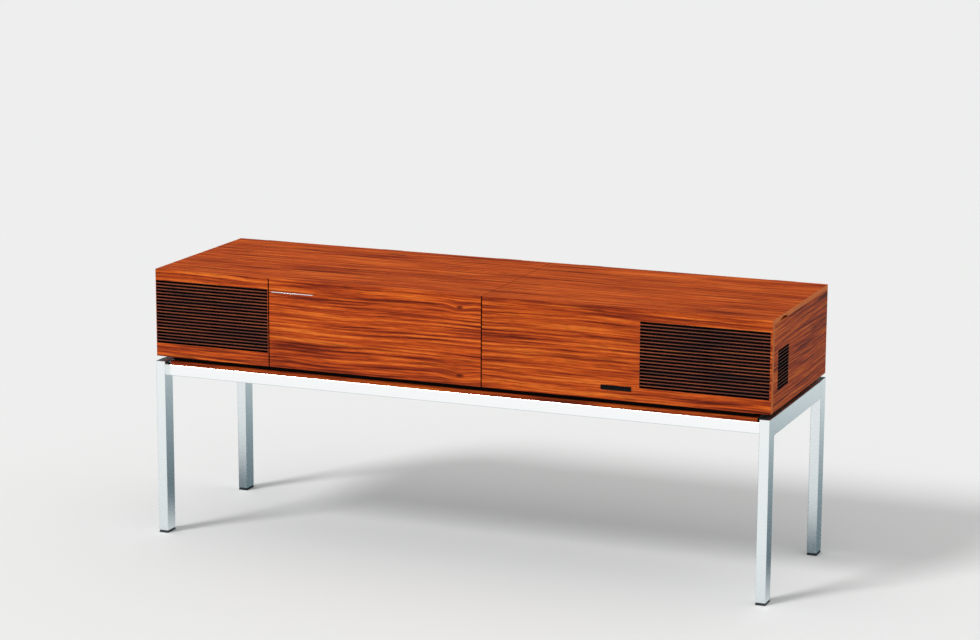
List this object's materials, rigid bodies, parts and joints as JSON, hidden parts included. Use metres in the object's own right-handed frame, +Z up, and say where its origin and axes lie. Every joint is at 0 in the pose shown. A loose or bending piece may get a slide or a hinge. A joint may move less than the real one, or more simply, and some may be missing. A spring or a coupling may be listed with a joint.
{
  "type": "stereo music centre",
  "caption": "Long low veneered music cabinet on a rectangular metal leg frame: slotted loudspeaker grilles, lids over a radio and a record changer.",
  "frame": {"origin": "on the floor under the centre of the cabinet", "axes": "+X along the length to the right seen from the front, +Y to the back, +Z up"},
  "size_m": [1.6, 0.484, 0.6802],
  "materials": {
    "cabinet_veneer": "satin lacquered rosewood-brown veneer",
    "plinth_veneer": "satin lacquered veneer",
    "black_wood": "matt black paint",
    "carcass_board": "raw chipboard",
    "hardboard": "rough brown hardboard",
    "frame_steel": "satin chromed tube",
    "glide_plastic": "moulded",
    "zinc_steel": "zinc plated",
    "grille_cloth": "black acoustic cloth",
    "speaker_steel": "pressed steel",
    "cone_paper": "felted paper",
    "hinge_brass": "satin",
    "chassis_steel": "cadmium plated",
    "fascia_aluminium": "brushed and anodised",
    "dial_glass": "clear",
    "pointer_red": "enamel",
    "knob_plastic": "moulded with a turned metal face",
    "button_plastic": "moulded ivory",
    "deck_enamel": "hammer enamel",
    "platter_aluminium": "turned, with rubber mat",
    "polished_steel": "polished",
    "arm_aluminium": "satin",
    "plywood": "raw plywood"
  },
  "bodies": {
    "root": {"leg_front_left": "frame_steel", "leg_front_right": "frame_steel", "leg_rear_left": "frame_steel", "leg_rear_right": "frame_steel", "side_rail_left": "frame_steel", "side_rail_right": "frame_steel", "front_rail": "frame_steel", "rear_rail": "frame_steel", "leg_glides": "glide_plastic", "plinth_frame": "plinth_veneer", "shadow_strip": "black_wood", "fixing_screws": "zinc_steel", "bottom_board": "carcass_board", "side_panel_left": "cabinet_veneer", "side_panel_right": "cabinet_veneer", "speaker_front_left": "cabinet_veneer", "front_panel_right": "cabinet_veneer", "left_partition": "carcass_board", "middle_partition": "carcass_board", "right_partition": "carcass_board", "rear_top_rail": "carcass_board", "rear_cover": "hardboard", "chamber_covers": "hardboard", "grille_cloths": "grille_cloth", "woofer_baskets": "speaker_steel", "woofer_cones": "cone_paper", "tweeters": "speaker_steel", "hinge_leaves_fixed": "hinge_brass", "stay_pivots": "zinc_steel", "radio_chassis": "chassis_steel", "radio_fascia": "fascia_aluminium", "dial_glass": "dial_glass", "motor_board": "plywood", "changer_deck": "deck_enamel", "changer_spindle": "polished_steel", "arm_rest": "deck_enamel", "changer_motor": "speaker_steel"},
    "left_lid": {"lid_board_left": "cabinet_veneer", "lid_flap": "cabinet_veneer", "hinge_leaves_left": "hinge_brass", "stay_track_left": "zinc_steel"},
    "right_lid": {"lid_board_right": "cabinet_veneer", "hinge_leaves_right": "hinge_brass", "stay_track_right": "zinc_steel"},
    "left_stay": {"stay_arm_left": "zinc_steel"},
    "right_stay": {"stay_arm_right": "zinc_steel"},
    "dial_pointer": {"dial_pointer": "pointer_red"},
    "tuning_knob": {"tuning_knob": "knob_plastic"},
    "volume_knob": {"volume_knob": "knob_plastic"},
    "bass_knob": {"bass_knob": "knob_plastic"},
    "treble_knob": {"treble_knob": "knob_plastic"},
    "platter": {"platter": "platter_aluminium"},
    "tonearm_base": {"tonearm_base": "deck_enamel"},
    "tonearm": {"tonearm": "arm_aluminium"},
    "changer_knob": {"changer_knob": "knob_plastic"},
    "push_button_1": {"push_button_1": "button_plastic"},
    "push_button_2": {"push_button_2": "button_plastic"},
    "push_button_3": {"push_button_3": "button_plastic"},
    "push_button_4": {"push_button_4": "button_plastic"},
    "push_button_5": {"push_button_5": "button_plastic"}
  },
  "joints": [
    {"name": "left_lid_open", "type": "hinge", "parent": "root", "child": "left_lid", "pos_m": [0, 0.2379, 0.668], "axis": [-1, 0, 0], "range_deg": [0, 70]},
    {"name": "left_stay_swing", "type": "hinge", "parent": "root", "child": "left_stay", "pos_m": [0, 0.09076, 0.63887], "axis": [-1, 0, 0], "range_deg": [0, 140]},
    {"name": "right_lid_open", "type": "hinge", "parent": "root", "child": "right_lid", "pos_m": [0, 0.2379, 0.668], "axis": [-1, 0, 0], "range_deg": [0, 70]},
    {"name": "right_stay_swing", "type": "hinge", "parent": "root", "child": "right_stay", "pos_m": [0, 0.09076, 0.63887], "axis": [-1, 0, 0], "range_deg": [0, 140]},
    {"name": "tuning_turn", "type": "hinge", "parent": "root", "child": "tuning_knob", "pos_m": [0.0262, -0.186, 0.52], "axis": [0, 1, 0], "range_deg": [-429, 429]},
    {"name": "pointer_slide", "type": "slide", "parent": "root", "child": "dial_pointer", "axis": [1, 0, 0], "range_m": [-0.195, 0.195]},
    {"name": "volume_turn", "type": "hinge", "parent": "root", "child": "volume_knob", "pos_m": [-0.4384, -0.186, 0.52], "axis": [0, 1, 0], "range_deg": [0, 300]},
    {"name": "bass_turn", "type": "hinge", "parent": "root", "child": "bass_knob", "pos_m": [-0.3884, -0.186, 0.52], "axis": [0, 1, 0], "range_deg": [-140, 140]},
    {"name": "treble_turn", "type": "hinge", "parent": "root", "child": "treble_knob", "pos_m": [-0.3384, -0.186, 0.52], "axis": [0, 1, 0], "range_deg": [-140, 140]},
    {"name": "button_1_press", "type": "slide", "parent": "root", "child": "push_button_1", "axis": [0, 1, 0], "range_m": [0, 0.005], "stiffness_N_per_m": 300, "springref_m": -0.002},
    {"name": "button_2_press", "type": "slide", "parent": "root", "child": "push_button_2", "axis": [0, 1, 0], "range_m": [0, 0.005], "stiffness_N_per_m": 300, "springref_m": -0.002},
    {"name": "button_3_press", "type": "slide", "parent": "root", "child": "push_button_3", "axis": [0, 1, 0], "range_m": [0, 0.005], "stiffness_N_per_m": 300, "springref_m": -0.002},
    {"name": "button_4_press", "type": "slide", "parent": "root", "child": "push_button_4", "axis": [0, 1, 0], "range_m": [0, 0.005], "stiffness_N_per_m": 300, "springref_m": -0.002},
    {"name": "button_5_press", "type": "slide", "parent": "root", "child": "push_button_5", "axis": [0, 1, 0], "range_m": [0, 0.005], "stiffness_N_per_m": 300, "springref_m": -0.002},
    {"name": "platter_spin", "type": "hinge", "parent": "root", "child": "platter", "pos_m": [0.2447, -0.004, 0.562], "axis": [0, 0, -1], "continuous": true},
    {"name": "tonearm_swing", "type": "hinge", "parent": "root", "child": "tonearm_base", "pos_m": [0.4207, 0.104, 0.556], "axis": [0, 0, -1], "range_deg": [0, 40]},
    {"name": "tonearm_lift", "type": "hinge", "parent": "tonearm_base", "child": "tonearm", "pos_m": [0.4207, 0.104, 0.591], "axis": [-1, 0, 0], "range_deg": [0, 12]},
    {"name": "changer_switch", "type": "hinge", "parent": "root", "child": "changer_knob", "pos_m": [0.4207, -0.124, 0.556], "axis": [0, 0, 1], "range_deg": [-45, 45]}
  ],
  "couplings": [
    {"joint": "left_stay_swing", "follows": "left_lid_open", "ratio": 2},
    {"joint": "right_stay_swing", "follows": "right_lid_open", "ratio": 2},
    {"joint": "pointer_slide", "follows": "tuning_turn", "m_per_rad": 0.026}
  ]
}
